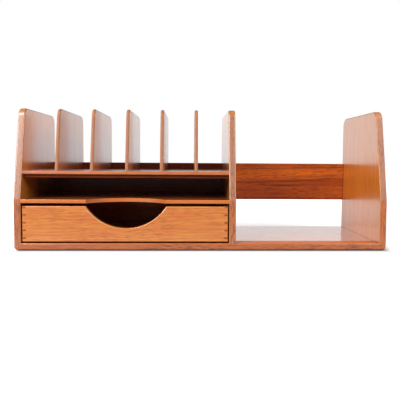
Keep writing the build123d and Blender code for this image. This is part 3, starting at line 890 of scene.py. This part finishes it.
def aim_camera():
    """The camera's axes, from how far it is turned, dipped and rolled."""
    ahead = Vector((math.sin(CAMERA_TURN) * math.cos(CAMERA_DIP),
                    math.cos(CAMERA_TURN) * math.cos(CAMERA_DIP), -math.sin(CAMERA_DIP)))
    right = Vector((math.cos(CAMERA_TURN), -math.sin(CAMERA_TURN), 0.0))
    up = right.cross(ahead)
    side = right * math.cos(CAMERA_ROLL) + up * math.sin(CAMERA_ROLL)
    top = up * math.cos(CAMERA_ROLL) - right * math.sin(CAMERA_ROLL)
    return Matrix((side, top, -ahead)).transposed()


class SORTER_OT_stage(SorterOperator, bpy.types.Operator):
    """Lay the floor, light the room, hang the soft boxes and set the camera"""
    bl_idname = "sorter.stage"
    bl_label = "Studio"

    def execute(self, context):
        studio = context.scene.sorter_studio
        scene = context.scene
        scene.view_settings.view_transform = "Standard"
        self.lay_floor(scene, studio)
        self.light_room(scene, studio)
        self.hang_soft_boxes(scene, studio)
        view = bpy.data.cameras.new("camera")
        view.lens = studio.lens
        view.sensor_width = SENSOR_WIDTH
        view.shift_x, view.shift_y = CAMERA_SHIFT
        camera = bpy.data.objects.new("camera", view)
        camera.matrix_world = Matrix.Translation(CAMERA_PLACE) @ aim_camera().to_4x4()
        scene.collection.objects.link(camera)
        scene.camera = camera
        return {"FINISHED"}

    def lay_floor(self, scene, studio):
        """A plain floor, white to the camera, with a painted shadow at the foot of the case."""
        mesh = bpy.data.meshes.new("floor")
        corners = [(x * FLOOR_REACH, y * FLOOR_REACH, 0) for x, y in ((-1, -1), (1, -1), (1, 1), (-1, 1))]
        mesh.from_pydata(corners, [], [(0, 1, 2, 3)])
        floor = bpy.data.objects.new("floor", mesh)
        scene.collection.objects.link(floor)
        material = bpy.data.materials.new("pale floor")
        material.use_nodes = True
        tree = material.node_tree
        tree.nodes.clear()
        rays = put(tree, "ShaderNodeLightPath")
        where = put(tree, "ShaderNodeTexCoord")
        parts = put(tree, "ShaderNodeSeparateXYZ", {0: where.outputs["Object"]})
        behind = spread(tree, parts.outputs[1], *FLOOR_BEHIND)
        mirrored = sum_up(tree, "MAXIMUM", rays.outputs["Is Glossy Ray"],
                          rays.outputs["Is Transmission Ray"])
        mirrored = sum_up(tree, "MULTIPLY", mirrored, sum_up(tree, "MULTIPLY", behind, FLOOR_MIRRORED))
        seen = sum_up(tree, "MAXIMUM", rays.outputs["Is Camera Ray"], mirrored)
        colour_seen = blend(tree, seen, (*studio.floor_bounce, 1.0), (*studio.floor_colour, 1.0))
        right = sum_up(tree, "SUBTRACT", parts.outputs[0], solid_box[1].x - FOOT_INSET)
        left = sum_up(tree, "SUBTRACT", solid_box[0].x + FOOT_INSET, parts.outputs[0])
        beside = sum_up(tree, "MAXIMUM", sum_up(tree, "MULTIPLY", right, FOOT_FADE_RIGHT),
                        sum_up(tree, "MULTIPLY", left, FOOT_FADE_LEFT))
        ahead = sum_up(tree, "SUBTRACT", sum_up(tree, "ABSOLUTE", parts.outputs[1]), solid_box[1].y)
        away = sum_up(tree, "MAXIMUM", beside, ahead)
        # painted shadow at the foot of the case
        colour_seen = tinted(tree, colour_seen, spread(tree, away, *FOOT_SHADE))
        level = sum_up(tree, "ADD", spread(tree, away, *NEAR_GLOW), spread(tree, away, *FAR_GLOW))
        level = sum_up(tree, "MULTIPLY", seen, level)
        glow = put(tree, "ShaderNodeEmission", {"Strength": level})
        matt = put(tree, "ShaderNodeBsdfDiffuse", {"Color": colour_seen})
        both = put(tree, "ShaderNodeAddShader", {0: matt.outputs[0], 1: glow.outputs[0]})
        put(tree, "ShaderNodeOutputMaterial", {"Surface": both.outputs[0]})
        mesh.materials.append(material)

    def light_room(self, scene, studio):
        """White to the camera, a backdrop and a wall ahead in reflections, and a weak light of its own."""
        world = bpy.data.worlds.new("room")
        scene.world = world
        world.use_nodes = True
        tree = world.node_tree
        tree.nodes.clear()
        rays = put(tree, "ShaderNodeLightPath")
        where = put(tree, "ShaderNodeTexCoord")
        toward = put(tree, "ShaderNodeSeparateXYZ", {0: where.outputs["Generated"]})
        behind = spread(tree, toward.outputs[1], *BACKDROP_TURN)
        backdrop = sum_up(tree, "MULTIPLY", behind, spread(tree, toward.outputs[2], *BACKDROP_TOP))
        ahead = spread(tree, toward.outputs[1], *WALL_TURN, 0.0, studio.front_reflection)
        high = sum_up(tree, "MULTIPLY", spread(tree, toward.outputs[2], *WALL_FOOT),
                      spread(tree, toward.outputs[2], *WALL_TOP))
        lit = sum_up(tree, "MAXIMUM", backdrop, sum_up(tree, "MULTIPLY", ahead, high))
        mirrored = spread(tree, lit, 0.0, 1.0, studio.room_reflection, 1.0)
        glow = spread(tree, toward.outputs[1], *GLOW_TURN, studio.sky, studio.back_light)
        even = put(tree, "ShaderNodeBackground", {"Color": WHITE, "Strength": glow})
        shown = sum_up(tree, "MAXIMUM", mirrored, rays.outputs["Is Camera Ray"])
        white = put(tree, "ShaderNodeBackground", {"Color": WHITE, "Strength": shown})
        seen = sum_up(tree, "MAXIMUM", rays.outputs["Is Camera Ray"],
                      sum_up(tree, "MAXIMUM", rays.outputs["Is Glossy Ray"],
                             rays.outputs["Is Transmission Ray"]))
        mixed = put(tree, "ShaderNodeMixShader", {0: seen, 1: even.outputs[0], 2: white.outputs[0]})
        put(tree, "ShaderNodeOutputWorld", {"Surface": mixed.outputs[0]})

    def hang_soft_boxes(self, scene, studio):
        """Two large lamps, ahead of the case and high at either side."""
        for name, place, power in (("soft box left", LEFT_SOFT_BOX, studio.key_power),
                                   ("soft box right", RIGHT_SOFT_BOX, studio.fill_power)):
            light = bpy.data.lights.new(name, "AREA")
            light.shape = "RECTANGLE"
            light.size, light.size_y = SOFT_BOX_SIZE
            light.energy = power
            lamp = bpy.data.objects.new(name, light)
            lamp.location = place
            lamp.rotation_euler = (LAMP_AIM - lamp.location).to_track_quat("-Z", "Y").to_euler()
            scene.collection.objects.link(lamp)


OPERATORS = (SORTER_OT_uprights, SORTER_OT_level_boards, SORTER_OT_rail, SORTER_OT_dividers,
             SORTER_OT_drawer, SORTER_OT_joint_pieces, SORTER_OT_stage)


class SORTER_PT_pieces(bpy.types.Panel):
    """The pieces of the sorter, in the order in which they are made"""
    bl_label = "Envelope sorter"
    bl_idname = "SORTER_PT_pieces"
    bl_space_type = "VIEW_3D"
    bl_region_type = "UI"
    bl_category = "Sorter"

    def draw(self, context):
        for operator in OPERATORS:
            self.layout.operator(operator.bl_idname)
        for group in (context.scene.sorter_sizes, context.scene.sorter_timber,
                      context.scene.sorter_studio):
            for name in group.__annotations__:
                self.layout.prop(group, name)


SETTINGS = {"sorter_timber": SorterTimber, "sorter_sizes": SorterSizes, "sorter_studio": SorterStudio}


def register():
    """Add the settings, the operators and the panel."""
    for kind in (*SETTINGS.values(), *OPERATORS, SORTER_PT_pieces):
        bpy.utils.register_class(kind)
    for name, kind in SETTINGS.items():
        setattr(bpy.types.Scene, name, PointerProperty(type=kind))


def unregister():
    """Take the settings, the operators and the panel away again."""
    for name in SETTINGS:
        delattr(bpy.types.Scene, name)
    for kind in (SORTER_PT_pieces, *reversed(OPERATORS), *SETTINGS.values()):
        bpy.utils.unregister_class(kind)


def main():
    """Make every piece and the studio."""
    register()
    for operator in OPERATORS:
        family, name = operator.bl_idname.split(".")
        getattr(getattr(bpy.ops, family), name)()


if __name__ == "__main__":
    main()
